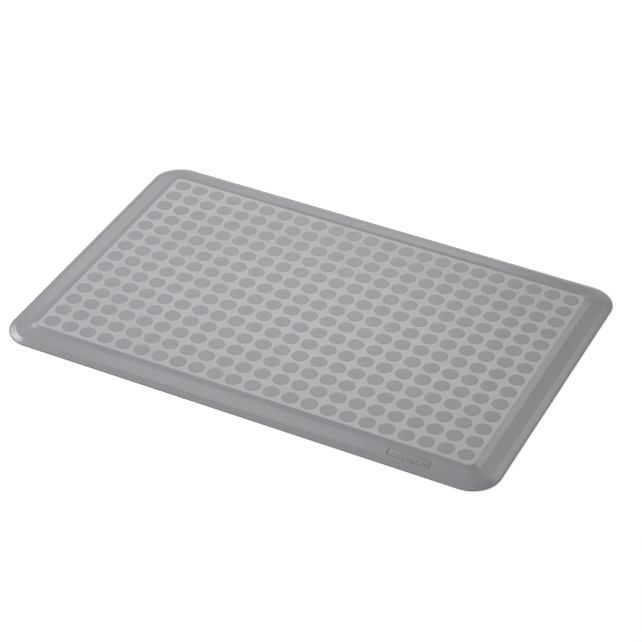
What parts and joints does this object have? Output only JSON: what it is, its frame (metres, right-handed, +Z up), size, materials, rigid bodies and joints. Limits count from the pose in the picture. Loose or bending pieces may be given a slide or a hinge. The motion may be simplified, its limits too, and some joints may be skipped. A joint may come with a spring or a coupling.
{
  "type": "anti fatigue mat",
  "caption": "Low rectangular cushioned standing mat with rounded corners, bevelled edges and a raised pad covered in a grid of round dots.",
  "frame": {"origin": "on the floor, under the middle of the mat", "axes": "+X along the long sides, towards the end where the badge is; +Y across the mat, away from the long side with the badge; +Z up through the mat"},
  "size_m": [0.9, 0.6, 0.013],
  "materials": {
    "skin": "smooth satin polyurethane",
    "pad": "fine matt grain",
    "foam": "closed-cell foam",
    "underside": "matt non-slip",
    "badge": "smooth satin"
  },
  "bodies": {
    "root": {"outer_skin": "skin", "dot_field": "pad", "foam_core": "foam", "base_sheet": "underside", "badge_plate": "badge"}
  },
  "joints": []
}
